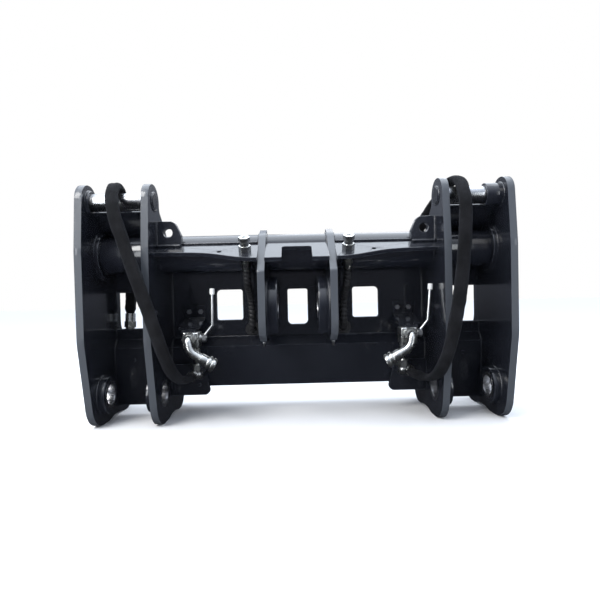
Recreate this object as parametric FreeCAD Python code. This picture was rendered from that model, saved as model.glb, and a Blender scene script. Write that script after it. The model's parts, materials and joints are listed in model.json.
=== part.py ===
import FreeCAD, Part
import math
import os

from FreeCAD import Vector

# Hydraulic quick coupler for a wheel loader: the carrier that hangs on the lift arms and the
# tilt link and picks up buckets and forks.  Millimetres, +Z up.  +X is the coupler's right as
# seen from the machine, which stands on the -Y side; the attachment hangs on the +Y side.
# The origin is the middle of the footprint, on the ground under the side plate lobes.

# ---- driving dimensions -------------------------------------------------------------------
HALF_WIDTH = 600.0          # centre plane to the outer face of an outer side plate
SIDE_PLATE = 20.0           # thickness of the four side plates
INNER_FACE = 400.0          # centre plane to the inboard face of an inner side plate
BAY_IN = INNER_FACE + SIDE_PLATE
BAY_OUT = HALF_WIDTH - SIDE_PLATE
FRONT = -177.5              # machine side of the side plates
REAR = 177.5                # attachment side of the side plates

ARM_PIVOT = (-57.5, 87.0)   # lift arm pin axis (y, z)
ARM_PIN_R = 30.0
ARM_BUSH_R = 40.0
ARM_BOSS_R = 55.0
ARM_BOSS = 21.0

HOOK_AXIS = (-112.5, 642.0)
HOOK_PIN_R = 25.0
LOBE_HALF = 48.0            # half the width of the lobe round the hook pin
LOBE_R = 47.9
COLLAR_R = 32.5
COLLAR = {"left": 8.0, "right": 47.0}    # length of the collar beside each outer plate

TUBE_AXIS = (-32.5, 498.0)
TUBE_R = 54.0
TUBE_WALL = 10.0
FLANGE_R = 68.0
FLANGE = 12.0

TILT_PIVOT = (-67.5, 339.0)
TILT_PIN_R = 30.0
TILT_BUSH_R = 38.0
TILT_BOSS_R = 84.0
LUG_IN = 89.0               # centre plane to the inboard face of a tilt lug
LUG = 20.0
TILT_BOSS = 31.0

BACK_FRONT = 57.5           # front face of the back plate
BACK = 16.0
# front face of the back plate: upright, then leaning forward onto the torque tube
BACK_PATH = [(BACK_FRONT, 231.0), (BACK_FRONT, 478.0), (8.0, 540.0)]
WINDOW_SIDE = (176.0, 260.0, 293.0, 390.0)
WINDOW_CENTRE = (-32.0, 32.0, 275.0, 388.0)
BAY_WINDOW = (272.0, 387.0)
HOSE_HOLE_R = 24.0
HOSE_HOLE_Z = 262.0

SHELF = 12.0
SHELF_SLOPE = math.radians(27.6)
SHELF_ROOT = (-80.5, 522.0)     # top of the shelf where it meets the torque tube
NOTCH_HALF = 42.0
NOTCH_ROOT = 28.0
UNION_X = 145.0
UNION_S = 54.0                  # distance down the slope

LOCK_AXIS = (107.5, 140.0)
LOCK_PIN_R = 25.0
LOCK_PIN_TAIL = 213.0
LOCK_PIN_TIP = 438.0
LOCK_STROKE = 160.0
GUIDE_R = 38.0
BARREL_HALF = 210.0
BARREL_R = 40.0
BORE_R = 32.0
PORT_TOP = 192.0                # top of the two port bosses on the cylinder
ROD_R = 14.0
GLAND = 25.0                    # length of the screwed gland in each end of the barrel
PISTON_NEAR = 4.0               # retracted piston: inner and outer faces from the centre
PISTON_FAR = 24.0
FIT = 0.08                      # radial running clearance

VALVE_X = {"left": -308.0, "right": 316.0}
VALVE_Y = -90.0
VALVE_Z = 246.0
VALVE_HALF = 24.0
STEM_Z = 252.0
LEVER_LEAN = {"left": 1.0, "right": 8.0}
SLEEVE_HALF_WIDTH = 18.0        # flattened woven sleeve round a hose
SLEEVE_HALF_DEPTH = 11.0
GUARD_HOSE_R = 11.0             # cylinder hose, over its spiral guard

SIDES = {"left": -1.0, "right": 1.0}
X_AXIS = Vector(1, 0, 0)
Y_AXIS = Vector(0, 1, 0)
Z_AXIS = Vector(0, 0, 1)


# ---- helpers --------------------------------------------------------------------------------
def rounded(corners, place):
    """Closed wire through (a, b, radius) corners; place(a, b) gives the point in space."""
    count = len(corners)
    tangents = []
    for i in range(count):
        a, b, radius = corners[i]
        here = Vector(a, b, 0)
        to_last = Vector(*corners[i - 1][:2], 0) - here
        to_next = Vector(*corners[(i + 1) % count][:2], 0) - here
        to_last.normalize()
        to_next.normalize()
        half = to_last.getAngle(to_next) / 2
        if radius <= 0 or half > math.pi / 2 - 0.001:
            tangents.append((here, None, here))
            continue
        back = radius / math.tan(half)
        middle = to_last + to_next
        middle.normalize()
        centre = here + middle * (radius / math.sin(half))
        tangents.append((here + to_last * back, centre - middle * radius, here + to_next * back))
    edges = []
    for i in range(count):
        start, middle, end = tangents[i]
        following = tangents[(i + 1) % count][0]
        if middle is not None:
            points = [place(p.x, p.y) for p in (start, middle, end)]
            edges.append(Part.Arc(*points).toShape())
        if (following - end).Length > 0.001:
            edges.append(Part.LineSegment(place(end.x, end.y), place(following.x, following.y)).toShape())
    return Part.Wire(edges)


def plate_x(corners, x0, x1):
    """Plate lying in a YZ plane, from x0 to x1."""
    wire = rounded(corners, lambda y, z: Vector(x0, y, z))
    return Part.Face(wire).extrude(Vector(x1 - x0, 0, 0))


def plate_y(corners, y0, y1):
    """Plate lying in an XZ plane, from y0 to y1."""
    wire = rounded(corners, lambda x, z: Vector(x, y0, z))
    return Part.Face(wire).extrude(Vector(0, y1 - y0, 0))


def block(x0, x1, y0, y1, z0, z1):
    low = Vector(min(x0, x1), min(y0, y1), min(z0, z1))
    return Part.makeBox(abs(x1 - x0), abs(y1 - y0), abs(z1 - z0), low)


def rod_x(x0, x1, axis, radius):
    """Round bar along X about the (y, z) axis."""
    return Part.makeCylinder(radius, abs(x1 - x0), Vector(min(x0, x1), *axis), X_AXIS)


def ring_x(x0, x1, axis, outer, inner):
    return rod_x(x0, x1, axis, outer).cut(rod_x(x0, x1, axis, inner))


def bar(start, direction, length, radius):
    return Part.makeCylinder(radius, length, start, direction)


def hexagon(start, direction, length, flats):
    """Hexagonal bar from start along direction."""
    turn = FreeCAD.Rotation(Z_AXIS, direction)
    reach = flats / math.sqrt(3)
    angles = [k * math.pi / 3 for k in range(7)]
    corners = [start + turn.multVec(Vector(math.cos(a), math.sin(a), 0) * reach) for a in angles]
    return Part.Face(Part.makePolygon(corners)).extrude(Vector(direction).normalize() * length)


def bent_plate(path, thickness, x0, x1):
    """Plate bent about X: path is its front face in (y, z), the thickness goes to its left."""
    points = [Vector(0, y, z) for y, z in path]
    offset = []
    for i, point in enumerate(points):
        normals = []
        for a, b in ((i - 1, i), (i, i + 1)):
            if a >= 0 and b < len(points):
                run = points[b] - points[a]
                run.normalize()
                normals.append(Vector(0, -run.z, run.y))
        middle = normals[0] + normals[-1]
        middle.normalize()
        offset.append(point + middle * (thickness / middle.dot(normals[0])))
    outline = [Vector(x0, p.y, p.z) for p in points + offset[::-1]]
    face = Part.Face(Part.makePolygon(outline + outline[:1]))
    return face.extrude(Vector(x1 - x0, 0, 0))


def soft_route(points):
    """Wire of straight runs joined by the largest even arcs."""
    points = [Vector(*p) for p in points]
    edges = []
    radii = []
    start = points[0]
    for before, here, after in zip(points, points[1:], points[2:]):
        back = before - here
        ahead = after - here
        reach = 0.45 * min(back.Length, ahead.Length)
        turn = math.pi - back.getAngle(ahead)
        radius = reach / math.tan(turn / 2)
        back.normalize()
        ahead.normalize()
        inward = back + ahead
        inward.normalize()
        middle = here + inward * (radius / math.cos(turn / 2) - radius)
        arc_start = here + back * reach
        arc_end = here + ahead * reach
        edges.append(Part.LineSegment(start, arc_start).toShape())
        edges.append(Part.Arc(arc_start, middle, arc_end).toShape())
        radii.append(radius)
        start = arc_end
    edges.append(Part.LineSegment(start, points[-1]).toShape())
    print("radii", [round(r) for r in radii])
    return Part.Wire(edges)


def soft_tube(name, points, half_width, half_depth):
    """Closed tube of oval section along the route, its wide way across the run and near X."""
    wire = soft_route(points)
    start = Vector(*points[0])
    run = Vector(*points[1]) - start
    run.normalize()
    depth_way = run.cross(X_AXIS)
    depth_way.normalize()
    wide_way = depth_way.cross(run)
    if half_width > half_depth:
        oval = Part.Ellipse(start + wide_way * half_width, start + depth_way * half_depth, start)
    else:
        oval = Part.Circle(start, run, half_width)
    tube = wire.makePipeShell([Part.Wire(oval.toShape())], True, False)
    expected = math.pi * half_width * half_depth * wire.Length
    print(name, "length", round(wire.Length), "volume ratio", round(tube.Volume / expected, 4))
    return tube


def mirrored(shape):
    return shape.mirror(Vector(0, 0, 0), X_AXIS)


def save(name, *solids):
    shape = solids[0] if len(solids) == 1 else Part.makeCompound(list(solids))
    shape = shape.removeSplitter() if len(solids) == 1 else shape
    found = len(shape.Solids)
    if not shape.isValid() or found != len(solids):
        print("CHECK", name, "valid", shape.isValid(), "solids", found)
    shape.exportStep("parts/" + name + ".step")


def save_pair(name, solid):
    """Right-hand piece as modelled, left-hand piece mirrored across the centre plane."""
    save(name + "_right", solid)
    save(name + "_left", mirrored(solid))


def save_both(name, *solids):
    """Right-hand pieces and their mirror images together in one node."""
    save(name, *solids, *[mirrored(s) for s in solids])


# ---- side plates ----------------------------------------------------------------------------
SIDE_OUTLINE = [
    (HOOK_AXIS[0] - LOBE_HALF, HOOK_AXIS[1] + LOBE_HALF, LOBE_R),
    (HOOK_AXIS[0] + LOBE_HALF, HOOK_AXIS[1] + LOBE_HALF, LOBE_R),
    (HOOK_AXIS[0] + LOBE_HALF, 622, 25),
    (-18, 585, 60),
    (90, 470, 70),
    (90, 272, 60),
    (REAR, 200, 25),
    (REAR, 0, 60),
    (96, 0, 60),
    (60, 8, 60),
    (14, 8, 60),
    (-26, 0, 60),
    (-128, 0, 75),
    (FRONT, 250, 150),
    (FRONT, 500, 200),
]


def side_plates():
    arm_hole = rod_x(INNER_FACE - 1, HALF_WIDTH + 1, ARM_PIVOT, ARM_BUSH_R)
    hook_hole = rod_x(INNER_FACE - 1, HALF_WIDTH + 1, HOOK_AXIS, HOOK_PIN_R)
    inner = plate_x(SIDE_OUTLINE, INNER_FACE, BAY_IN)
    inner = inner.cut(arm_hole).cut(hook_hole)
    inner = inner.cut(rod_x(INNER_FACE - 1, BAY_IN + 1, TUBE_AXIS, TUBE_R))
    inner = inner.cut(rod_x(INNER_FACE - 1, BAY_IN + 1, LOCK_AXIS, GUIDE_R))
    outer = plate_x(SIDE_OUTLINE, BAY_OUT, HALF_WIDTH)
    outer = outer.cut(arm_hole).cut(hook_hole)
    outer = outer.cut(rod_x(BAY_OUT - 1, HALF_WIDTH + 1, LOCK_AXIS, LOCK_PIN_R + 0.5))
    save_pair("inner_side_plate", inner)
    save_pair("outer_side_plate", outer)


def lift_arm_bearings():
    faces = ((BAY_OUT - ARM_BOSS, BAY_OUT, HALF_WIDTH), (BAY_IN + ARM_BOSS, BAY_IN, INNER_FACE))
    bosses = [ring_x(a, b, ARM_PIVOT, ARM_BOSS_R, ARM_BUSH_R) for a, b, c in faces]
    bushes = [ring_x(a, c, ARM_PIVOT, ARM_BUSH_R, ARM_PIN_R) for a, b, c in faces]
    save_both("arm_pivot_bosses", *bosses)
    save_both("arm_pivot_bushings", *bushes)


def hook_pins():
    chamfer = 3.0
    pin = rod_x(INNER_FACE - 4, HALF_WIDTH, HOOK_AXIS, HOOK_PIN_R)
    inboard = [e for e in pin.Edges if abs(e.CenterOfMass.x - (INNER_FACE - 4)) < 0.1]
    pin = pin.makeChamfer(chamfer, inboard)
    save_pair("hook_pin", pin)
    collars = []
    for side, k in SIDES.items():
        near, far = k * BAY_OUT, k * (BAY_OUT - COLLAR[side])
        collars.append(ring_x(near, far, HOOK_AXIS, COLLAR_R, HOOK_PIN_R))
    save("hook_pin_collars", *collars)


# ---- torque tube, shelf and ears ------------------------------------------------------------
def torque_tube():
    save("torque_tube", ring_x(-BAY_OUT, BAY_OUT, TUBE_AXIS, TUBE_R, TUBE_R - TUBE_WALL))
    ring = ring_x(BAY_OUT - FLANGE, BAY_OUT, TUBE_AXIS, FLANGE_R, TUBE_R)
    save_both("tube_flanges", ring)


def on_shelf(x, s, lift=0.0):
    """Point on the shelf: x across, s down the slope from the tube, lift above the top face."""
    down = (math.cos(SHELF_SLOPE), math.sin(SHELF_SLOPE))
    y = SHELF_ROOT[0] - s * down[0] - lift * down[1]
    z = SHELF_ROOT[1] - s * down[1] + lift * down[0]
    return Vector(x, y, z)


SHELF_NORMAL = Vector(0, -math.sin(SHELF_SLOPE), math.cos(SHELF_SLOPE))


def shelf_piece(outline, curve=None):
    """Plate on the slope below its top face; curve is a smooth front edge between outline ends."""
    points = [on_shelf(x, s) for x, s in outline]
    edges = [Part.LineSegment(a, b).toShape() for a, b in zip(points, points[1:])]
    if curve:
        spline = Part.BSplineCurve()
        spline.interpolate([points[-1]] + [on_shelf(x, s) for x, s in curve] + [points[0]])
        edges.append(spline.toShape())
    else:
        edges.append(Part.LineSegment(points[-1], points[0]).toShape())
    plate = Part.Face(Part.Wire(edges)).extrude(SHELF_NORMAL * -SHELF)
    return plate.cut(rod_x(-HALF_WIDTH, HALF_WIDTH, TUBE_AXIS, TUBE_R))


def top_shelf():
    under_tube = -30.0
    outboard = LUG_IN + LUG
    wing = shelf_piece(
        [(outboard, 103), (outboard, under_tube), (INNER_FACE, under_tube), (INNER_FACE, 53)],
        [(300, 58), (240, 68), (190, 86), (150, 98)],
    )
    drain = bar(on_shelf(217, 56, -20), SHELF_NORMAL, 40, 6)
    union_hole = bar(on_shelf(UNION_X, UNION_S, -20), SHELF_NORMAL, 40, 11)
    wing = wing.cut(drain).cut(union_hole)
    depth = 104
    centre = shelf_piece([(-LUG_IN, depth), (-LUG_IN, under_tube), (LUG_IN, under_tube), (LUG_IN, depth)])
    clear = 5
    notch_corners = [
        (-NOTCH_HALF, NOTCH_ROOT, 9),
        (NOTCH_HALF, NOTCH_ROOT, 9),
        (NOTCH_HALF, depth + clear, 0),
        (-NOTCH_HALF, depth + clear, 0),
    ]
    notch = Part.Face(rounded(notch_corners, lambda x, s: on_shelf(x, s, clear)))
    notch = notch.extrude(SHELF_NORMAL * -(SHELF + 2 * clear))
    save("shelf_plates", centre.cut(notch), wing, mirrored(wing))


def lifting_ears():
    front, rear = -95.0, -75.0
    outline = [(330, 500, 0), (330, 547, 20), (349, 589, 22), (INNER_FACE, 589, 0), (INNER_FACE, 500, 0)]
    ear = plate_y(outline, front, rear)
    ear = ear.cut(bar(Vector(368, front - 1, 556), Y_AXIS, 30, 13))
    wedge = [on_shelf(320, -60), on_shelf(320, 60), on_shelf(320, 60, -80), on_shelf(320, -60, -80)]
    below = Part.Face(Part.makePolygon(wedge + wedge[:1])).extrude(Vector(100, 0, 0))
    ear = ear.cut(below).cut(rod_x(300, 420, TUBE_AXIS, TUBE_R))
    save_both("lifting_ears", ear)


# ---- tilt link lugs ---------------------------------------------------------------------------
def tilt_lugs():
    outline = [
        (FRONT, 437, 10),
        (-72, 549, 60),
        (-5, 571, 12),
        (*BACK_PATH[2], 0),
        (*BACK_PATH[1], 0),
        (BACK_FRONT, 238, 0),
        (-110, 238, 60),
        (FRONT, 268, 50),
    ]
    lug = plate_x(outline, LUG_IN, LUG_IN + LUG)
    lug = lug.cut(rod_x(0, 200, TUBE_AXIS, TUBE_R)).cut(rod_x(0, 200, TILT_PIVOT, TILT_BUSH_R))
    boss = ring_x(LUG_IN - TILT_BOSS, LUG_IN, TILT_PIVOT, TILT_BOSS_R, TILT_BUSH_R)
    bush = ring_x(LUG_IN - TILT_BOSS, LUG_IN + LUG, TILT_PIVOT, TILT_BUSH_R, TILT_PIN_R)
    save_pair("tilt_lug", lug)
    save_both("tilt_bosses", boss)
    save_both("tilt_bushings", bush)


# ---- back plates ------------------------------------------------------------------------------
def back_plates():
    rear = BACK_FRONT + BACK
    plate = bent_plate(BACK_PATH, -BACK, -INNER_FACE, INNER_FACE)
    plate = plate.cut(rod_x(-INNER_FACE, INNER_FACE, TUBE_AXIS, TUBE_R))
    x0, x1, z0, z1 = WINDOW_CENTRE
    windows = [plate_y([(x0, z0, 14), (x1, z0, 14), (x1, z1, 6), (x0, z1, 6)], 40, rear + 9)]
    x0, x1, z0, z1 = WINDOW_SIDE
    for side in SIDES.values():
        corners = [(side * x0, z0, 8), (side * x1, z0, 8), (side * x1, z1, 14), (side * x0, z1, 8)]
        windows.append(plate_y(corners, 40, rear + 9))
        windows.append(bar(Vector(side * UNION_X, 40, HOSE_HOLE_Z), Y_AXIS, 50, HOSE_HOLE_R))
    for window in windows:
        plate = plate.cut(window)
    save("back_plate", plate)

    guard_path = [(BACK_FRONT, BAY_WINDOW[1]), (BACK_FRONT, 480), (-72, 621)]
    guard = bent_plate(guard_path, -12, BAY_IN, BAY_OUT)
    guard = guard.cut(rod_x(BAY_IN, BAY_OUT, TUBE_AXIS, TUBE_R))
    save_both("hook_guard_plates", guard.cut(rod_x(BAY_OUT - FLANGE, BAY_OUT, TUBE_AXIS, FLANGE_R)))


# ---- lower beam -------------------------------------------------------------------------------
BEAM_PATH = [(52, 238), (32, 212), (32, 167), (42, 85)]
BAY_PATH = [(50, BAY_WINDOW[0]), *BEAM_PATH[:3], (44, 30)]
BEAM_PLATE = 14.0
BEAM_ROOF = 228.0


def lower_beam():
    front = bent_plate(BEAM_PATH, BEAM_PLATE, -INNER_FACE, INNER_FACE)
    front = front.cut(block(-INNER_FACE, INNER_FACE, BACK_FRONT, 90, 225, 260))
    floor = block(-INNER_FACE, INNER_FACE, 56.2, 164, 85, 97)
    lip = block(-INNER_FACE, INNER_FACE, 152, 164, 97, 112)
    roof = block(-INNER_FACE, INNER_FACE, BACK_FRONT - 6, 150, BEAM_ROOF - 12, BEAM_ROOF)
    under_roof = BEAM_ROOF - 12
    saddle = plate_x([(60, 97, 0), (150, 97, 0), (150, under_roof, 0), (60, under_roof, 0)], 92, 108)
    saddle = saddle.cut(rod_x(80, 120, LOCK_AXIS, BARREL_R))
    for side in SIDES.values():
        roof = roof.cut(bar(Vector(side * UNION_X, LOCK_AXIS[0], BEAM_ROOF - 20), Z_AXIS, 30, 20))
    roof = roof.cut(front)
    save("beam_front_plate", front)
    save("beam_floor", floor.fuse(lip))
    save("beam_roof", roof)
    save_both("cylinder_saddles", saddle)

    save_both("bay_lower_plates", bent_plate(BAY_PATH, BEAM_PLATE, BAY_IN, BAY_OUT))
    gusset = plate_y([(277, 62, 16), (INNER_FACE, 62, 0), (INNER_FACE, 160, 0), (300, 160, 30)], 18, 31.5)
    save_both("lower_gussets", gusset)


# ---- lock cylinder and pins -------------------------------------------------------------------
def lock_system():
    barrel = ring_x(-BARREL_HALF, BARREL_HALF, LOCK_AXIS, BARREL_R, BORE_R)
    for side in SIDES.values():
        seat = Vector(side * UNION_X, LOCK_AXIS[0], LOCK_AXIS[1] + BORE_R + 3)
        barrel = barrel.fuse(bar(seat, Z_AXIS, PORT_TOP - seat.z, 14))
        barrel = barrel.cut(bar(seat - Z_AXIS * 10, Z_AXIS, 40, 6))
    save("lock_cylinder_barrel", barrel)

    gland = ring_x(BARREL_HALF - GLAND, BARREL_HALF, LOCK_AXIS, BORE_R, ROD_R + FIT)
    save_both("cylinder_glands", gland)
    rod_start = PISTON_NEAR + 6.0
    piston = rod_x(PISTON_NEAR, PISTON_FAR, LOCK_AXIS, BORE_R - FIT)
    save_pair("lock_piston", piston.cut(rod_x(rod_start, PISTON_FAR, LOCK_AXIS, ROD_R)))
    grip = 30.0
    save_pair("piston_rod", rod_x(rod_start, LOCK_PIN_TAIL + grip, LOCK_AXIS, ROD_R))
    pin = rod_x(LOCK_PIN_TAIL, LOCK_PIN_TIP, LOCK_AXIS, LOCK_PIN_R)
    tip = [e for e in pin.Edges if abs(e.CenterOfMass.x - LOCK_PIN_TIP) < 0.1]
    pin = pin.makeChamfer(5, tip).cut(rod_x(LOCK_PIN_TAIL, LOCK_PIN_TAIL + grip, LOCK_AXIS, ROD_R))
    save_pair("lock_pin", pin)
    guide = ring_x(300, BAY_IN + 20, LOCK_AXIS, GUIDE_R, LOCK_PIN_R + FIT)
    save_both("lock_pin_guides", guide)


# ---- cylinder hoses ---------------------------------------------------------------------------
CYLINDER_HOSE = [
    tuple(on_shelf(UNION_X, UNION_S, -58)),
    tuple(on_shelf(UNION_X, UNION_S, -104)),
    (UNION_X, -50, 388),
    (UNION_X - 2, -20, 366),
    (UNION_X - 4, -6, 332),
    (UNION_X - 4, -2, 297),
    (UNION_X - 2, 11, 271),
    (UNION_X, 36, HOSE_HOLE_Z + 1.5),
    (UNION_X, 62, HOSE_HOLE_Z),
    (UNION_X, 84, HOSE_HOLE_Z),
]


def cylinder_feeds():
    top = on_shelf(UNION_X, UNION_S)
    under = on_shelf(UNION_X, UNION_S, -SHELF)
    down = SHELF_NORMAL * -1
    union = bar(on_shelf(UNION_X, UNION_S, -34), SHELF_NORMAL, 34 + 4, 10.9)
    union = union.fuse(hexagon(top, SHELF_NORMAL, 16, 31))
    union = union.fuse(bar(on_shelf(UNION_X, UNION_S, 16), SHELF_NORMAL, 12, 12.5))
    union = union.fuse(hexagon(on_shelf(UNION_X, UNION_S, 28), SHELF_NORMAL, 13, 29))
    union = union.cut(bar(on_shelf(UNION_X, UNION_S, -34), SHELF_NORMAL, 80, 6))
    save_both("bulkhead_unions", union)
    locknut = hexagon(under, down, 9, 30).cut(bar(under, down, 9, 10.9))
    save_both("bulkhead_locknuts", locknut)
    ferrule = hexagon(on_shelf(UNION_X, UNION_S, -34), down, 12, 26)
    ferrule = ferrule.fuse(bar(on_shelf(UNION_X, UNION_S, -46), down, 12, 12))
    foot = Vector(*CYLINDER_HOSE[-1])
    riser_top = Vector(UNION_X, LOCK_AXIS[0], foot.z)
    port = Vector(UNION_X, LOCK_AXIS[0], PORT_TOP)
    elbow = hexagon(port, Z_AXIS, 14, 24).fuse(bar(port, Z_AXIS, foot.z - PORT_TOP, 9))
    elbow = elbow.fuse(Part.makeSphere(9, riser_top)).fuse(bar(foot, Y_AXIS, LOCK_AXIS[0] - foot.y, 9))
    elbow = elbow.fuse(bar(foot, Y_AXIS, 10, 12))
    save_both("cylinder_hose_ends", ferrule, elbow)
    hose = soft_tube("cylinder_hoses", CYLINDER_HOSE, GUARD_HOSE_R, GUARD_HOSE_R)
    save_both("cylinder_hoses", hose)
    lip = 3.0
    seat = Vector(UNION_X, BACK_FRONT - lip, HOSE_HOLE_Z)
    grommet = bar(seat, Y_AXIS, BACK + 2 * lip, HOSE_HOLE_R)
    grommet = grommet.fuse(bar(seat + Y_AXIS * (BACK + lip), Y_AXIS, lip, HOSE_HOLE_R + 4))
    save_both("hose_grommets", grommet.cut(bar(seat - Y_AXIS, Y_AXIS, 40, GUARD_HOSE_R + 1.5)))


# ---- shut-off valves --------------------------------------------------------------------------
def valve(side, group):
    """Shut-off valve with its elbows, lever and bracket; fixed pieces go to the shared groups."""
    x = VALVE_X[side]
    inward = -SIDES[side]
    ball_centre = Vector(x, VALVE_Y, STEM_Z)
    body = block(x - VALVE_HALF, x + VALVE_HALF, VALVE_Y - 23, VALVE_Y + 23, VALVE_Z - 23, VALVE_Z + 24)
    body = body.makeFillet(5, body.Edges)
    port = Vector(0, 36, 0)
    body = body.fuse(bar(ball_centre - port, Y_AXIS, 72, 17))
    body = body.fuse(bar(ball_centre + X_AXIS * 20, X_AXIS, 8, 13))
    body = body.cut(bar(ball_centre - port, Y_AXIS, 72, 9))
    body = body.cut(Part.makeSphere(15 + FIT, ball_centre))
    body = body.cut(bar(ball_centre, X_AXIS, 40, 6 + FIT))
    group["valve_bodies"].append(body)

    ball = Part.makeSphere(15, ball_centre).cut(bar(ball_centre - port, Y_AXIS, 72, 9))
    stem = bar(ball_centre + X_AXIS * 12, X_AXIS, 31, 6)
    save("valve_ball_" + side, ball.cut(stem))
    save("valve_stem_" + side, stem)
    hub_x = x + 30
    hub = hexagon(Vector(hub_x, VALVE_Y, STEM_Z), X_AXIS, 11, 22)
    crank_start = Vector(hub_x + 5, VALVE_Y, STEM_Z + 6)
    crank_end = Vector(x + 60, VALVE_Y, STEM_Z + 36)
    knob_base = Vector(x + 60 + LEVER_LEAN[side], VALVE_Y, 380)
    crank = crank_end - crank_start
    upright = knob_base - crank_end
    arm = bar(crank_start, crank, crank.Length, 4).fuse(Part.makeSphere(4, crank_end))
    arm = arm.fuse(bar(crank_end, upright, upright.Length, 4))
    lever = hub.fuse(arm).cut(bar(Vector(hub_x - 1, VALVE_Y, STEM_Z), X_AXIS, 20, 6))
    save("valve_lever_" + side, lever)
    upright.normalize()
    knob = bar(knob_base - upright * 4, upright, 18, 7)
    knob = knob.makeFillet(3, knob.Edges).cut(bar(knob_base - upright * 6, upright, 6, 4))
    save("lever_knob_" + side, knob)

    # front elbow, from the port facing the machine down towards the centre of the coupler
    route = [
        ball_centre - Y_AXIS * 36,
        ball_centre - Y_AXIS * 58,
        ball_centre + Vector(inward * 8, -64, -34),
        ball_centre + Vector(inward * 52, -62, -60),
    ]
    wire = soft_route(route)
    circle = Part.Wire(Part.Circle(route[0], Y_AXIS, 12.5).toShape())
    elbow = wire.makePipeShell([circle], True, False)
    elbow = elbow.fuse(hexagon(route[0], Y_AXIS * -1, 10, 34))
    way = route[3] - route[2]
    way.normalize()
    elbow = elbow.fuse(bar(route[3] - way * 18, way, 20, 15))
    group["port_elbows"].append(elbow)
    nut_start = route[3] + way * 2
    nut = bar(nut_start, way, 24, 16).fuse(bar(nut_start + way * 2, way, 7, 20))
    nut = nut.fuse(bar(nut_start + way * 14, way, 8, 20)).cut(bar(nut_start, way, 24, 11))
    group["swivel_nuts"].append(nut)

    # rear elbow and drop pipe down to the hose
    rear_route = [
        ball_centre + Y_AXIS * 36,
        ball_centre + Y_AXIS * 62,
        ball_centre + Vector(0, 66, -40),
        ball_centre + Vector(0, 66, -88),
    ]
    wire = soft_route(rear_route)
    circle = Part.Wire(Part.Circle(rear_route[0], Y_AXIS, 9).toShape())
    pipe = wire.makePipeShell([circle], True, False)
    pipe = pipe.fuse(hexagon(rear_route[0], Y_AXIS, 12, 30))
    group["drop_pipes"].append(pipe)

    # bracket: flange on the back plate, sloping web, tab on top of the valve
    top = VALVE_Z + 24
    path = [(BACK_FRONT - 6, 342), (BACK_FRONT - 6, 302), (-50, top + 6), (VALVE_Y - 20, top + 6)]
    bracket_x = x + 20 * SIDES[side]
    bracket = bent_plate(path, 6, bracket_x - 32, bracket_x + 32)
    for edge in (-1, 1):
        bracket = bracket.cut(block(x + 26 * edge, x + 90 * edge, VALVE_Y - 30, -42, top - 20, top + 40))
    for dx in (-18.0, 18.0):
        seat = Vector(bracket_x + dx, BACK_FRONT - 6, 322)
        bracket = bracket.cut(bar(seat - Y_AXIS * 5, Y_AXIS, 20, 5.2))
        group["bracket_bolts"].append(hexagon(seat, Y_AXIS * -1, 6, 14).fuse(bar(seat, Y_AXIS, 6, 5)))
    group["valve_brackets"].append(bracket)


# ---- sleeved hoses ----------------------------------------------------------------------------
LEFT_HOSE = [
    (-325, -43, 131),
    (-332, -75, 127),
    (-341, -115, 134),
    (-350, -162, 163),
    (-366, -198, 232),
    (-392, -208, 326),
    (-425, -208, 425),
    (-455, -205, 515),
    (-484, -198, 602),
    (-497, -170, 655),
    (-503, -132, 686),
    (-507, -90, 686),
    (-512, -48, 656),
    (-520, 14, 610),
    (-530, 68, 552),
    (-541, 95, 478),
    (-547, 99, 396),
    (-550, 96, 320),
]
RIGHT_HOSE = [
    (338, -30, 130),
    (355, -62, 120),
    (371, -114, 122),
    (383, -180, 150),
    (405, -206, 230),
    (421, -210, 320),
    (437, -208, 412),
    (446, -204, 506),
    (453, -198, 600),
    (456, -170, 655),
    (454, -132, 686),
    (447, -90, 686),
    (434, -46, 658),
    (411, 12, 614),
    (389, 66, 560),
    (378, 95, 484),
    (375, 99, 400),
    (376, 96, 322),
]
HOSES = {"left": LEFT_HOSE, "right": RIGHT_HOSE}


def sleeved_hose(side, group):
    points = HOSES[side]
    name = "sleeved_hose_" + side
    save(name, soft_tube(name, points, SLEEVE_HALF_WIDTH, SLEEVE_HALF_DEPTH))
    start = Vector(*points[0])
    way = Vector(*points[1]) - start
    way.normalize()
    pipe_foot = Vector(VALVE_X[side], VALVE_Y + 66, STEM_Z - 88)
    body = hexagon(pipe_foot, Z_AXIS * -1, 22, 30).fuse(Part.makeSphere(16, pipe_foot - Z_AXIS * 30))
    reach = start - (pipe_foot - Z_AXIS * 30)
    body = body.fuse(bar(pipe_foot - Z_AXIS * 30, reach, reach.Length - 14, 12))
    ferrule = bar(start - way * 22, way, 22, 16)
    group["hose_fittings"].append(body.fuse(ferrule))

    end = Vector(*points[-1])
    fall = end - Vector(*points[-2])
    fall.normalize()
    coupler = bar(end, fall, 26, 16).fuse(hexagon(end + fall * 26, fall, 20, 32))
    coupler = coupler.fuse(bar(end + fall * 46, fall, 34, 14)).cut(bar(end + fall * 60, fall, 30, 8))
    save("hose_coupler_" + side, coupler)


# ---- small parts --------------------------------------------------------------------------------
def small_parts():
    seat = Vector(LUG_IN + LUG / 2, -110, 238)
    down = Z_AXIS * -1
    save_both("grease_nipples", bar(seat, down, 6, 5).fuse(bar(seat, down, 14, 3)))
    plugs = []
    for x, y, z in ((519, 32, 176), (-519, 32, 176), (-313, 18, 95)):
        plugs.append(hexagon(Vector(x, y, z), Y_AXIS * -1, 5, 12))
    save("drain_plugs", *plugs)


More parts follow.
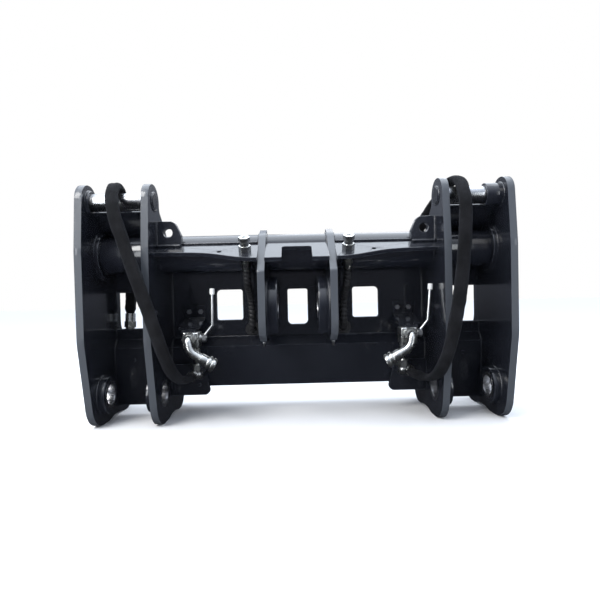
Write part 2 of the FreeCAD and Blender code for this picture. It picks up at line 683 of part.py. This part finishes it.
os.makedirs("parts", exist_ok=True)
side_plates()
lift_arm_bearings()
hook_pins()
torque_tube()
top_shelf()
lifting_ears()
tilt_lugs()
back_plates()
lower_beam()
lock_system()
cylinder_feeds()
valve_groups = {
    "valve_bodies": [], "valve_brackets": [], "bracket_bolts": [], "port_elbows": [],
    "swivel_nuts": [], "drop_pipes": [], "hose_fittings": [],
}
for side in SIDES:
    valve(side, valve_groups)
    sleeved_hose(side, valve_groups)
for name, solids in valve_groups.items():
    save(name, *solids)
small_parts()
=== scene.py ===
import json
import math

import bpy
import numpy as np
from mathutils import Matrix, Vector, noise


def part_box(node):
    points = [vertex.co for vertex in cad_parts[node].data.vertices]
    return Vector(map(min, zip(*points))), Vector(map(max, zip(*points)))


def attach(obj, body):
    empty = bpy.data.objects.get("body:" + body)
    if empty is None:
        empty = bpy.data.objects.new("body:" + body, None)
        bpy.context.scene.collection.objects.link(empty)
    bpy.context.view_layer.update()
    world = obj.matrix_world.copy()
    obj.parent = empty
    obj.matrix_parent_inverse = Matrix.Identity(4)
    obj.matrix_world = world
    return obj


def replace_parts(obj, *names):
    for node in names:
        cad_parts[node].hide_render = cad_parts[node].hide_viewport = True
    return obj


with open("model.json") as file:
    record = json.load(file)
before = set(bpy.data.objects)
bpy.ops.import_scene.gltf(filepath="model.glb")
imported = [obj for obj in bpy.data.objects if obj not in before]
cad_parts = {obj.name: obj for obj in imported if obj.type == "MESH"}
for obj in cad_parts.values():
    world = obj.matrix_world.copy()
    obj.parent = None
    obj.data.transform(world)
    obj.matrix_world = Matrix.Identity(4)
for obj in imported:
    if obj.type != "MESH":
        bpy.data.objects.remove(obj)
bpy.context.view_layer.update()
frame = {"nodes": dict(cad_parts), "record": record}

record = frame["record"]
nodes = frame["nodes"]
SIDES = {"left": -1.0, "right": 1.0}
BODY = "frame"

# ---- places read from the frame (metres), and the back plate's front face given as a number ---
INNER_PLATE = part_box("inner_side_plate_right")
OUTER_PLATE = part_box("outer_side_plate_right")
INNER_FACE, BAY_IN, BAY_OUT = INNER_PLATE[0][0], INNER_PLATE[1][0], OUTER_PLATE[0][0]


def middle(box, axis):
    return (box[0][axis] + box[1][axis]) / 2


def axis_of(node):
    """(y, z) of the X axis that a round node is centred on."""
    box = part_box(node)
    return middle(box, 1), middle(box, 2)


TUBE_AXIS = axis_of("torque_tube")
TUBE_R = (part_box("torque_tube")[1][2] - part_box("torque_tube")[0][2]) / 2
HOOK_AXIS = axis_of("hook_pin_right")
ARM_AXIS = axis_of("arm_pivot_bushings")
TILT_AXIS = axis_of("tilt_bushings")
LUG_IN, LUG_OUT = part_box("tilt_lug_right")[0][0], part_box("tilt_lug_right")[1][0]
LOCK_AXIS = axis_of("lock_pin_right")
BACK_FRONT = 0.0575  # front face of the back plate, where it stands upright


# ---- camera -----------------------------------------------------------------------------------
CAMERA_PLACE = (-0.0047, -1.425, 0.383)
CAMERA_DEGREES = (1.217, -1.342, 0.477)  # pitch down, roll, yaw
SENSOR_MM, LENS_MM = 36, 27.69


def make_camera():
    place = Vector(CAMERA_PLACE)
    pitch, roll, yaw = (math.radians(turn) for turn in CAMERA_DEGREES)
    ahead = Vector((math.sin(yaw) * math.cos(pitch), math.cos(yaw) * math.cos(pitch), -math.sin(pitch)))
    level = Vector((math.cos(yaw), -math.sin(yaw), 0))
    over = level.cross(ahead)
    right = level * math.cos(roll) + over * math.sin(roll)
    up = over * math.cos(roll) - level * math.sin(roll)
    data = bpy.data.cameras.new("camera")
    data.sensor_width = SENSOR_MM
    data.lens = LENS_MM
    data.clip_end = 50
    camera = bpy.data.objects.new("camera", data)
    bpy.context.collection.objects.link(camera)
    turn = Matrix((right, up, -ahead)).transposed()
    camera.matrix_world = Matrix.Translation(place) @ turn.to_4x4()
    bpy.context.scene.camera = camera


# ---- node helpers -------------------------------------------------------------------------------
class Shade:
    """Small wrapper that builds a material's nodes by name."""

    def __init__(self, name):
        self.material = bpy.data.materials.new(name)
        self.material.use_nodes = True
        self.tree = self.material.node_tree
        self.shader = self.tree.nodes["Principled BSDF"]
        self.place = self.node("ShaderNodeTexCoord").outputs["Object"]

    def node(self, kind, **values):
        made = self.tree.nodes.new(kind)
        for key, value in values.items():
            setattr(made, key, value)
        return made

    def link(self, source, target):
        self.tree.links.new(source, target)

    def set(self, **values):
        for key, value in values.items():
            self.shader.inputs[key.replace("_", " ")].default_value = value

    def noise(self, scale, detail=4.0, rough=0.55, vector=None):
        made = self.node("ShaderNodeTexNoise")
        made.inputs["Scale"].default_value = scale
        made.inputs["Detail"].default_value = detail
        made.inputs["Roughness"].default_value = rough
        self.link(vector or self.place, made.inputs["Vector"])
        return made.outputs["Fac"]

    def stretched(self, scale):
        made = self.node("ShaderNodeMapping")
        made.inputs["Scale"].default_value = scale
        self.link(self.place, made.inputs["Vector"])
        return made.outputs["Vector"]

    def ramp(self, source, low, high, a=0.0, b=1.0):
        made = self.node("ShaderNodeMapRange")
        for key, value in (("From Min", low), ("From Max", high), ("To Min", a), ("To Max", b)):
            made.inputs[key].default_value = value
        self.link(source, made.inputs["Value"])
        return made.outputs["Result"]

    def math(self, operation, a, b):
        made = self.node("ShaderNodeMath", operation=operation)
        for socket, value in zip(made.inputs, (a, b)):
            if isinstance(value, (int, float)):
                socket.default_value = value
            else:
                self.link(value, socket)
        return made.outputs[0]

    def mix(self, amount, a, b):
        made = self.node("ShaderNodeMix", data_type="RGBA")
        self.link(amount, made.inputs[0])
        for socket, value in ((made.inputs[6], a), (made.inputs[7], b)):
            if isinstance(value, tuple):
                socket.default_value = (*value, 1)
            else:
                self.link(value, socket)
        return made.outputs[2]

    def bump(self, height, strength, distance):
        made = self.node("ShaderNodeBump")
        made.inputs["Strength"].default_value = strength
        made.inputs["Distance"].default_value = distance
        self.link(height, made.inputs["Height"])
        last = self.shader.inputs["Normal"]
        if last.links:
            self.link(last.links[0].from_socket, made.inputs["Normal"])
        self.link(made.outputs["Normal"], last)


def edge_wear(shade, radius=0.0035):
    """Where edges stand out, broken up by noise."""
    geometry = shade.node("ShaderNodeNewGeometry")
    rounded = shade.node("ShaderNodeBevel", samples=4)
    rounded.inputs["Radius"].default_value = radius
    turned = shade.node("ShaderNodeVectorMath", operation="DOT_PRODUCT")
    shade.link(geometry.outputs["Normal"], turned.inputs[0])
    shade.link(rounded.outputs["Normal"], turned.inputs[1])
    edge = shade.ramp(turned.outputs["Value"], 0.985, 0.88)
    return shade.math("MULTIPLY", edge, shade.ramp(shade.noise(60, 6), 0.40, 0.62))


def upward(shade):
    """1 on faces that look up, where dust settles."""
    geometry = shade.node("ShaderNodeNewGeometry")
    split = shade.node("ShaderNodeSeparateXYZ")
    shade.link(geometry.outputs["Normal"], split.inputs[0])
    return shade.ramp(split.outputs["Z"], 0.35, 1.0)


# ---- materials ----------------------------------------------------------------------------------
def cut_edge(shade):
    """1 on the flame-cut edges of plates that stand across X, 0 on their flat sides."""
    split = shade.node("ShaderNodeSeparateXYZ")
    texture = shade.node("ShaderNodeTexCoord")
    shade.link(texture.outputs["Normal"], split.inputs[0])
    across = shade.math("ABSOLUTE", split.outputs["X"], 0)
    return shade.ramp(across, 0.25, 0.6, 1.0, 0.0)


def black_paint(name="black_paint", edges=False):
    """Gloss enamel: orange peel, fine dust on top faces, scuffs and wear on edges."""
    s = Shade(name)
    s.set(Metallic=0.0, IOR=1.5, Coat_Weight=0.5, Coat_Roughness=0.06, Coat_IOR=1.5)
    patch = s.ramp(s.noise(3.5, 4), 0.35, 0.68)
    base = s.mix(patch, (0.0095, 0.0108, 0.0155), (0.0140, 0.0156, 0.0210))
    dust = s.math("MULTIPLY", upward(s), s.ramp(s.noise(46, 8, 0.66), 0.50, 0.78, 0.0, 0.30))
    base = s.mix(dust, base, (0.072, 0.074, 0.078))
    scuff = s.noise(240, 3, 0.5, s.stretched((1.0, 0.14, 0.09)))
    scratch = s.math("MULTIPLY", s.ramp(scuff, 0.71, 0.77, 0.0, 0.7), s.ramp(s.noise(8, 4), 0.54, 0.66))
    base = s.mix(scratch, base, (0.050, 0.055, 0.064))
    base = s.mix(edge_wear(s), base, (0.085, 0.092, 0.105))
    rough = s.math("ADD", s.ramp(s.noise(5, 5), 0.3, 0.7, 0.17, 0.23), s.math("MULTIPLY", dust, 0.6))
    if edges:
        cut = cut_edge(s)
        base = s.mix(cut, base, (0.052, 0.058, 0.068))
        rough = s.math("ADD", rough, s.math("MULTIPLY", cut, 0.20))
        drag = s.noise(70, 4, 0.6, s.stretched((0.25, 2.2, 2.2)))
        s.bump(s.math("MULTIPLY", drag, cut), 0.35, 0.0009)
    s.link(base, s.shader.inputs["Base Color"])
    s.link(rough, s.shader.inputs["Roughness"])
    s.bump(s.noise(320, 2, 0.4), 0.05, 0.0002)
    return s.material


def pin_steel():
    """Turned cross pin: bare between the plates of a bay, painted over where it is welded in."""
    s = Shade("pin_steel")
    split = s.node("ShaderNodeSeparateXYZ")
    s.link(s.place, split.inputs[0])
    across = s.math("ABSOLUTE", split.outputs["X"], 0)
    reach = s.math("ADD", across, s.ramp(s.noise(90, 3), 0.3, 0.7, 0.0, 0.004))
    inboard = s.ramp(reach, BAY_IN + 0.006, BAY_IN + 0.003)
    outboard = s.ramp(reach, BAY_OUT - 0.001, BAY_OUT + 0.001)
    paint = s.math("ADD", inboard, outboard)
    lines = s.noise(60, 3, 0.5, s.stretched((6.0, 0.4, 0.4)))
    grime = s.ramp(s.noise(30, 7, 0.62), 0.50, 0.76, 0.0, 0.5)
    steel = s.mix(s.ramp(lines, 0.35, 0.65), (0.60, 0.61, 0.63), (0.44, 0.45, 0.47))
    steel = s.mix(grime, steel, (0.20, 0.18, 0.16))
    s.link(s.mix(paint, steel, (0.0075, 0.0088, 0.0125)), s.shader.inputs["Base Color"])
    s.link(s.math("SUBTRACT", 1.0, paint), s.shader.inputs["Metallic"])
    finish = s.math("ADD", s.ramp(lines, 0.3, 0.7, 0.20, 0.32), s.math("MULTIPLY", grime, 0.5))
    s.link(finish, s.shader.inputs["Roughness"])
    s.bump(lines, 0.10, 0.0004)
    return s.material


def metal(name, color, rough, streak, stain=(0.20, 0.17, 0.14), stain_amount=0.35):
    """Bare or plated steel: streaks of machining, dull patches and a little grime."""
    s = Shade(name)
    s.set(Metallic=1.0)
    lines = s.noise(streak[0], 3, 0.5, s.stretched(streak[1]))
    grime = s.ramp(s.noise(42, 7, 0.62), 0.52, 0.74, 0.0, stain_amount)
    dull = tuple(c * 0.72 for c in color)
    base = s.mix(s.ramp(lines, 0.35, 0.65), color, dull)
    base = s.mix(grime, base, stain)
    s.link(base, s.shader.inputs["Base Color"])
    clean = s.ramp(lines, 0.3, 0.7, rough * 0.8, rough * 1.3)
    finish = s.math("ADD", clean, s.math("MULTIPLY", grime, 0.7))
    s.link(finish, s.shader.inputs["Roughness"])
    s.bump(lines, 0.10, 0.0004)
    return s.material


def woven_sleeve():
    s = Shade("sleeve_fabric")
    s.set(Metallic=0.0, Sheen_Weight=0.06, Sheen_Roughness=0.4, IOR=1.4, Specular_IOR_Level=0.25)
    s.set(Sheen_Tint=(0.55, 0.60, 0.72, 1))
    uv = s.node("ShaderNodeUVMap", uv_map="weave").outputs["UV"]
    weave = []
    for direction, profile in (("X", 300.0), ("Y", 300.0)):
        wave = s.node("ShaderNodeTexWave", wave_type="BANDS", bands_direction=direction)
        wave.inputs["Scale"].default_value = profile
        wave.inputs["Distortion"].default_value = 1.2
        wave.inputs["Detail"].default_value = 2.0
        s.link(uv, wave.inputs["Vector"])
        weave.append(wave.outputs["Fac"])
    threads = s.math("MULTIPLY", weave[0], weave[1])
    fuzz = s.noise(900, 3, 0.6)
    base = s.mix(threads, (0.0025, 0.0026, 0.0032), (0.0098, 0.0102, 0.0128))
    base = s.mix(s.ramp(s.noise(14, 6, 0.6), 0.42, 0.72, 0.0, 0.6), base, (0.0165, 0.0165, 0.0195))
    s.link(base, s.shader.inputs["Base Color"])
    s.link(s.ramp(fuzz, 0.3, 0.7, 0.74, 0.95), s.shader.inputs["Roughness"])
    s.bump(threads, 0.6, 0.0012)
    s.bump(fuzz, 0.25, 0.0005)
    return s.material


def plastic(name, low, high, rough, grain):
    s = Shade(name)
    s.set(Metallic=0.0, IOR=1.48)
    base = s.mix(s.ramp(s.noise(22, 5), 0.35, 0.68), low, high)
    base = s.mix(edge_wear(s), base, tuple(min(1, c * 1.8 + 0.02) for c in high))
    s.link(base, s.shader.inputs["Base Color"])
    s.link(s.ramp(s.noise(70, 4), 0.3, 0.7, rough, rough + 0.16), s.shader.inputs["Roughness"])
    s.bump(s.noise(grain, 3), 0.18, 0.0004)
    return s.material


def make_materials():
    across, even = (0.2, 6.0, 6.0), (1, 1, 1)
    return {
        "black_paint": black_paint(),
        "bare_steel": metal("bare_steel", (0.60, 0.60, 0.61), 0.26, (60, across)),
        "zinc": metal("zinc", (0.74, 0.75, 0.73), 0.26, (90, even), (0.24, 0.22, 0.18), 0.40),
        "lever_steel": metal("lever_steel", (0.82, 0.83, 0.84), 0.34, (60, even), (0.5, 0.48, 0.45), 0.15),
        "rod_chrome": metal("rod_chrome", (0.84, 0.85, 0.87), 0.07, (60, across), (0.3, 0.28, 0.26), 0.1),
        "bolt_steel": metal("bolt_steel", (0.50, 0.51, 0.53), 0.30, (120, even), (0.12, 0.11, 0.10), 0.5),
        "plate_paint": black_paint("plate_paint", edges=True),
        "pin_steel": pin_steel(),
        "sleeve_fabric": woven_sleeve(),
        "hose_guard": plastic("hose_guard", (0.012, 0.012, 0.013), (0.026, 0.026, 0.028), 0.38, 500),
        "white_knob": plastic("white_knob", (0.70, 0.70, 0.68), (0.82, 0.82, 0.81), 0.22, 300),
    }


materials = make_materials()


# ---- mesh helpers ---------------------------------------------------------------------------------
def mesh_piece(name, points, faces, slot, body=BODY):
    """A smooth mesh object that rides on a body and takes its slot's finish."""
    mesh = bpy.data.meshes.new(name)
    mesh.from_pydata([tuple(p) for p in points], [], faces)
    mesh.shade_smooth()
    piece = bpy.data.objects.new(name, mesh)
    bpy.context.collection.objects.link(piece)
    mesh.materials.append(materials[slot])
    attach(piece, body)
    return piece


def tube_faces(rings, around, closed):
    """Quads between rings of vertices, with end caps when the tube isn't closed on itself."""
    faces = []
    last = rings if closed else rings - 1
    for i in range(last):
        a, b = i * around, (i + 1) % rings * around
        faces += [(a + j, a + (j + 1) % around, b + (j + 1) % around, b + j) for j in range(around)]
    if not closed:
        faces.append(tuple(range(around))[::-1])
        faces.append(tuple(range((rings - 1) * around, rings * around)))
    return faces


def spline_line(points):
    """Fine points along the smooth curve that has these control points."""
    curve = bpy.data.curves.new("route", "CURVE")
    curve.dimensions = "3D"
    curve.resolution_u = 24
    spline = curve.splines.new("NURBS")
    spline.points.add(len(points) - 1)
    for target, point in zip(spline.points, points):
        target.co = (*point, 1)
    spline.order_u = 3
    spline.use_endpoint_u = True
    holder = bpy.data.objects.new("route", curve)
    mesh = bpy.data.meshes.new_from_object(holder)
    line = [v.co.copy() for v in mesh.vertices]
    bpy.data.objects.remove(holder)
    bpy.data.curves.remove(curve)
    bpy.data.meshes.remove(mesh)
    return line


def even_steps(line, step):
    """Points an even step apart along a line, and how far along each one is."""
    places = np.array([tuple(p) for p in line])
    reach = np.concatenate([[0], np.cumsum(np.linalg.norm(np.diff(places, axis=0), axis=1))])
    at = np.linspace(0, reach[-1], max(2, int(reach[-1] / step)))
    even = np.stack([np.interp(at, reach, places[:, k]) for k in range(3)], axis=1)
    return [Vector(p) for p in even], at


def weld_bead(name, line, size=0.005, closed=False, ripple=0.0042):
    """Painted weld bead: overlapping half-moon ripples along a line."""
    places, at = even_steps(line, ripple / 3)
    if closed:
        places, at = places[:-1], at[:-1]
    around = 10
    points = []
    for i, here in enumerate(places):
        ahead = places[(i + 1) % len(places)] if closed or i + 1 < len(places) else here
        behind = places[i - 1] if closed or i else here
        run = (ahead - behind).normalized()
        side = run.orthogonal().normalized()
        over = run.cross(side)
        wander = noise.noise(here * 55) * 0.12
        swell = 1 + 0.10 * math.cos(2 * math.pi * at[i] / ripple) + wander
        for j in range(around):
            turn = 2 * math.pi * j / around
            points.append(here + (side * math.cos(turn) + over * math.sin(turn)) * size * swell)
    return mesh_piece(name, points, tube_faces(len(places), around, closed), "black_paint")


def circle_x(x, axis, radius, start=0.0, end=360.0, count=96):
    """Points of an arc about an X axis; 0 degrees is towards +Y, 90 is up."""
    turns = [math.radians(start + (end - start) * k / count) for k in range(count + 1)]
    return [Vector((x, axis[0] + radius * math.cos(t), axis[1] + radius * math.sin(t))) for t in turns]


def mirror_line(line):
    return [Vector((-p.x, p.y, p.z)) for p in line]


# ---- CAD pieces: finish and softened edges ----------------------------------------------------------
SOFT_EDGE = {"zinc": 0.0007, "bolt_steel": 0.0007, "bare_steel": 0.001, "black_paint": 0.0016}


def dress_cad():
    slots = {row["node"]: row["material_slot"] for row in record["subparts"]}
    for name, piece in nodes.items():
        slot = slots[name]
        finish = slot
        if name.startswith(("inner_side_plate", "outer_side_plate", "tilt_lug")):
            finish = "plate_paint"
        elif name.startswith("hook_pin_") and slot == "bare_steel":
            finish = "pin_steel"
        elif name.startswith("valve_lever"):
            finish = "lever_steel"
        piece.data.materials.clear()
        piece.data.materials.append(materials[finish])
        if slot not in SOFT_EDGE:
            continue
        weld = piece.modifiers.new("join", "WELD")
        weld.merge_threshold = 0.00002
        edge = piece.modifiers.new("soft_edge", "BEVEL")
        edge.width = SOFT_EDGE[slot]
        edge.segments = 2
        edge.limit_method = "ANGLE"
        edge.angle_limit = math.radians(38)
        edge.use_clamp_overlap = True
        edge.harden_normals = False


# ---- weld seams -------------------------------------------------------------------------------------
def weld_seams():
    # faces across X, axis, radius of the joint, radius of the bead
    rings = {
        "tube_inner": ((INNER_FACE, BAY_IN), TUBE_AXIS, TUBE_R, 0.0045),
        "tube_lug": ((LUG_IN, LUG_OUT), TUBE_AXIS, TUBE_R, 0.004),
        "flange": ((BAY_OUT,), TUBE_AXIS, 0.068, 0.0035),
        "arm_boss": ((BAY_IN, BAY_OUT), ARM_AXIS, 0.055, 0.0045),
        "tilt_boss": ((LUG_IN,), TILT_AXIS, 0.084, 0.005),
        "collar": ((BAY_OUT,), HOOK_AXIS, 0.0325, 0.003),
        "pin": ((INNER_FACE, BAY_IN), HOOK_AXIS, 0.025, 0.003),
        "guide": ((INNER_FACE, BAY_IN), LOCK_AXIS, 0.038, 0.004),
    }
    for name, (faces, axis, radius, size) in rings.items():
        for k, face in enumerate(faces):
            line = circle_x(face, axis, radius)
            weld_bead(f"weld_{name}_{k}_right", line, size, closed=True)
            weld_bead(f"weld_{name}_{k}_left", mirror_line(line), size, closed=True)

    back_seam = [(BACK_FRONT, 0.245), (BACK_FRONT, 0.474)]
    bay_seam = [(0.050, 0.268), (0.052, 0.238), (0.032, 0.212), (0.032, 0.167), (0.044, 0.036)]
    guard_seam = [(BACK_FRONT, 0.391), (BACK_FRONT, 0.480), (-0.068, 0.617)]
    beam_seam = [(0.052, 0.236), (0.032, 0.212), (0.032, 0.167), (0.041, 0.090)]
    # face across X, (y, z) path on it, radius of the bead
    upright = {
        "lug_back_in": (LUG_IN, back_seam, 0.004),
        "lug_back_out": (LUG_OUT, back_seam, 0.004),
        "back_plate": (INNER_FACE, back_seam, 0.0045),
        "beam_plate": (INNER_FACE, beam_seam, 0.0045),
        "shelf_plate": (INNER_FACE, [(-0.125, 0.493), (-0.088, 0.514)], 0.004),
        "bay_in": (BAY_IN, bay_seam, 0.0045),
        "bay_out": (BAY_OUT, bay_seam, 0.0045),
        "guard_in": (BAY_IN, guard_seam, 0.004),
        "guard_out": (BAY_OUT, guard_seam, 0.004),
        "ear_side": (INNER_FACE, [(-0.095, 0.520), (-0.095, 0.587)], 0.0045),
    }
    # first and last X, (y, z) of the line, radius of the bead
    level = {
        "ear_foot": (0.334, 0.398, (-0.095, 0.518), 0.0055),
        "shelf_tube": (LUG_OUT + 0.004, INNER_FACE - 0.004, (-0.081, 0.524), 0.0035),
        "beam_top": (LUG_OUT + 0.004, INNER_FACE - 0.004, (0.055, 0.240), 0.0035),
    }
    seams = {}
    for name, (x, path, size) in upright.items():
        seams[name] = ([Vector((x, y, z)) for y, z in path], size)
    for name, (start, end, (y, z), size) in level.items():
        seams[name] = ([Vector((start, y, z)), Vector((end, y, z))], size)
    for name, (line, size) in seams.items():
        weld_bead(f"weld_{name}_right", line, size)
        weld_bead(f"weld_{name}_left", mirror_line(line), size)


# ---- sleeved hoses ----------------------------------------------------------------------------------
SLEEVE_WIDTH = 0.036
SLEEVE_DEPTH = 0.022
SLEEVE_GIRTH = 0.095  # width of the weave's map, once round the sleeve
SLEEVE_STEP = 0.003
SIDES_OF_TUBE = 40
LEFT_HOSE = [
    (-0.325, -0.043, 0.131),
    (-0.332, -0.075, 0.127),
    (-0.341, -0.115, 0.134),
    (-0.350, -0.162, 0.163),
    (-0.366, -0.198, 0.232),
    (-0.392, -0.208, 0.326),
    (-0.425, -0.208, 0.425),
    (-0.455, -0.205, 0.515),
    (-0.484, -0.198, 0.602),
    (-0.497, -0.170, 0.655),
    (-0.503, -0.132, 0.686),
    (-0.507, -0.090, 0.686),
    (-0.512, -0.048, 0.656),
    (-0.520, 0.014, 0.610),
    (-0.530, 0.068, 0.552),
    (-0.541, 0.095, 0.478),
    (-0.547, 0.099, 0.396),
    (-0.550, 0.096, 0.320),
]
RIGHT_HOSE = [
    (0.338, -0.030, 0.130),
    (0.355, -0.062, 0.120),
    (0.371, -0.114, 0.122),
    (0.383, -0.180, 0.150),
    (0.405, -0.206, 0.230),
    (0.421, -0.210, 0.320),
    (0.437, -0.208, 0.412),
    (0.446, -0.204, 0.506),
    (0.453, -0.198, 0.600),
    (0.456, -0.170, 0.655),
    (0.454, -0.132, 0.686),
    (0.447, -0.090, 0.686),
    (0.434, -0.046, 0.658),
    (0.411, 0.012, 0.614),
    (0.389, 0.066, 0.560),
    (0.378, 0.095, 0.484),
    (0.375, 0.099, 0.400),
    (0.376, 0.096, 0.322),
]
HOSES = {"left": LEFT_HOSE, "right": RIGHT_HOSE}


def oval_frames(places):
    """For each place along a hose: the way across its width, kept near X, and across its depth."""
    frames = []
    for i, here in enumerate(places):
        run = (places[min(i + 1, len(places) - 1)] - places[max(i - 1, 0)]).normalized()
        depth = run.cross(Vector((1, 0, 0))).normalized()
        frames.append((depth.cross(run).normalized(), depth))
    return frames


def sleeved_hose(side):
    """Woven sleeve round a hose: a flattened tube with folds and fine bunching, pinched in towards its
    ends.
    """
    route = HOSES[side]
    places, at = even_steps(spline_line(route), SLEEVE_STEP)
    frames = oval_frames(places)
    around = SIDES_OF_TUBE
    points = []
    seed = 3.7 * SIDES[side]
    for i, (here, (wide, depth)) in enumerate(zip(places, frames)):
        ends = min(at[i], at[-1] - at[i])
        pinch = min(1.0, 0.72 + ends / 0.05)
        flat = 0.5 + 0.5 * noise.noise(Vector((at[i] * 7, seed, 0)))
        half_width = SLEEVE_WIDTH / 2 * (0.92 + 0.10 * flat) * pinch
        half_depth = SLEEVE_DEPTH / 2 * (1.04 - 0.14 * flat) * pinch
        for j in range(around):
            turn = 2 * math.pi * j / around
            c, s = math.cos(turn), math.sin(turn)
            crease = noise.noise(Vector((at[i] * 26, c * 1.6 + seed, s * 1.6))) * 0.0016
            bunch = noise.noise(Vector((at[i] * 95, c * 0.9, s * 0.9 + seed))) * 0.0007
            square = (abs(c) ** 2.6 + abs(s) ** 2.6) ** (-1 / 2.6)
            offset = wide * (c * square * half_width) + depth * (s * square * half_depth)
            points.append(here + offset * (1 + (crease + bunch) / max(offset.length, 0.004)))
    faces = tube_faces(len(places), around, False)
    piece = mesh_piece("hose_sleeve_" + side, points, faces, "sleeve_fabric")
    add_weave_uv(piece, around, at)
    node = "sleeved_hose_" + side
    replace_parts(piece, node)


def add_weave_uv(piece, around, at):
    """UV map in metres: round the tube and along it."""
    layer = piece.data.uv_layers.new(name="weave")
    for polygon in piece.data.polygons:
        columns = [piece.data.loops[k].vertex_index % around for k in polygon.loop_indices]
        wraps = max(columns) - min(columns) > 1
        for k in polygon.loop_indices:
            vertex = piece.data.loops[k].vertex_index
            column = vertex % around
            if wraps and column == 0:
                column = around
            layer.data[k].uv = (column / around * SLEEVE_GIRTH, at[vertex // around])


# ---- cylinder hoses in their spiral guards --------------------------------------------------------
CYLINDER_HOSE = [
    (0.145, -0.10150, 0.44557),
    (0.145, -0.08018, 0.40481),
    (0.145, -0.050, 0.388),
    (0.143, -0.020, 0.366),
    (0.141, -0.006, 0.332),
    (0.141, -0.002, 0.297),
    (0.143, 0.011, 0.271),
    (0.145, 0.036, 0.2635),
    (0.145, 0.062, 0.262),
    (0.145, 0.084, 0.262),
]


GUARD_STEP = 0.0012
GUARD_PITCH, GUARD_BAND = 0.0135, 0.68  # metres a turn, and the share of it that the band covers
GUARD_RADIUS, HOSE_RADIUS = 0.0112, 0.0092


def spiral_guard(side):
    """Hose wrapped in a flat plastic spiral: the wall steps up where the band lies."""
    route = [(x * SIDES[side], y, z) for x, y, z in CYLINDER_HOSE]
    places, at = even_steps(spline_line(route), GUARD_STEP)
    frames = oval_frames(places)
    around = SIDES_OF_TUBE
    pitch, band = GUARD_PITCH, GUARD_BAND
    high, low = GUARD_RADIUS, HOSE_RADIUS
    points = []
    for i, (here, (wide, depth)) in enumerate(zip(places, frames)):
        for j in range(around):
            turn = 2 * math.pi * j / around
            phase = (at[i] / pitch + j / around) % 1
            rise = min(1.0, min(phase, band - phase) / 0.08) if phase < band else 0.0
            radius = low + (high - low) * max(0.0, rise)
            points.append(here + (wide * math.cos(turn) + depth * math.sin(turn)) * radius)
    faces = tube_faces(len(places), around, False)
    return mesh_piece("spiral_guard_" + side, points, faces, "hose_guard")


# ---- stage ------------------------------------------------------------------------------------------
def make_floor():
    """Plain pale floor; the gloss paint doesn't mirror it."""
    bpy.ops.mesh.primitive_plane_add(size=16, location=(0, 3.0, 0))
    floor = bpy.context.object
    floor.name = "floor"
    floor.visible_glossy = False
    s = Shade("floor")
    s.set(Base_Color=(0.93, 0.93, 0.935, 1), Roughness=0.95)
    floor.data.materials.append(s.material)


SKY = (
    (0.00, (0.020, 0.021, 0.024)),
    (0.46, (0.030, 0.032, 0.038)),
    (0.51, (0.130, 0.140, 0.170)),
    (0.60, (0.220, 0.240, 0.285)),
    (0.74, (0.62, 0.68, 0.80)),
    (1.00, (1.75, 1.90, 2.15)),
)


def make_world():
    """Open sky over dark ground for light and reflections, in front of a white backdrop."""
    world = bpy.data.worlds.new("studio")
    bpy.context.scene.world = world
    world.use_nodes = True
    tree = world.node_tree
    sky = tree.nodes["Background"]
    coordinate = tree.nodes.new("ShaderNodeTexCoord")
    split = tree.nodes.new("ShaderNodeSeparateXYZ")
    tree.links.new(coordinate.outputs["Generated"], split.inputs[0])
    height = tree.nodes.new("ShaderNodeMath")
    height.operation = "MULTIPLY_ADD"
    height.inputs[1].default_value = 0.5
    height.inputs[2].default_value = 0.5
    tree.links.new(split.outputs["Z"], height.inputs[0])
    ramp = tree.nodes.new("ShaderNodeValToRGB")
    stops = ramp.color_ramp.elements
    while len(stops) < len(SKY):
        stops.new(0.5)
    for stop, (place, color) in zip(stops, SKY):
        stop.position = place
        stop.color = (*color, 1)
    tree.links.new(height.outputs[0], ramp.inputs["Fac"])
    tree.links.new(ramp.outputs["Color"], sky.inputs["Color"])
    backdrop = tree.nodes.new("ShaderNodeBackground")
    backdrop.inputs["Color"].default_value = (1, 1, 1, 1)
    ray = tree.nodes.new("ShaderNodeLightPath")
    choose = tree.nodes.new("ShaderNodeMixShader")
    tree.links.new(ray.outputs["Is Camera Ray"], choose.inputs[0])
    tree.links.new(sky.outputs[0], choose.inputs[1])
    tree.links.new(backdrop.outputs[0], choose.inputs[2])
    tree.links.new(choose.outputs[0], tree.nodes["World Output"].inputs["Surface"])


LIGHTS = (
    ("key", (-1.7, -1.9, 2.3), (1.5, 1.5), 84, (1.0, 0.99, 0.97)),
    ("top", (0.0, 0.7, 2.7), (3.6, 3.0), 50, (0.88, 0.94, 1.0)),
    ("strip_left", (-2.1, -2.6, 0.75), (0.5, 1.5), 16, (0.93, 0.97, 1.0)),
    ("strip_right", (2.2, -2.5, 0.75), (0.4, 1.5), 9, (0.92, 0.97, 1.0)),
    ("rear", (0.8, 2.6, 2.0), (2.0, 1.2), 12, (1.0, 1.0, 1.0)),
)


def make_lights():
    for name, place, (width, height), power, color in LIGHTS:
        data = bpy.data.lights.new(name, "AREA")
        data.shape = "RECTANGLE"
        data.size = width
        data.size_y = height
        data.energy = power
        data.color = color
        light = bpy.data.objects.new(name, data)
        light.location = place
        aim = Vector((0, 0, 0.35)) - Vector(place)
        light.rotation_euler = aim.to_track_quat("-Z", "Y").to_euler()
        bpy.context.collection.objects.link(light)


# ---- assembly -----------------------------------------------------------------------------------------
make_camera()
make_floor()
make_world()
make_lights()
bpy.context.scene.view_settings.view_transform = "Standard"
dress_cad()
weld_seams()
for side in SIDES:
    sleeved_hose(side)
for side in SIDES:
    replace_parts(spiral_guard(side), "cylinder_hoses")
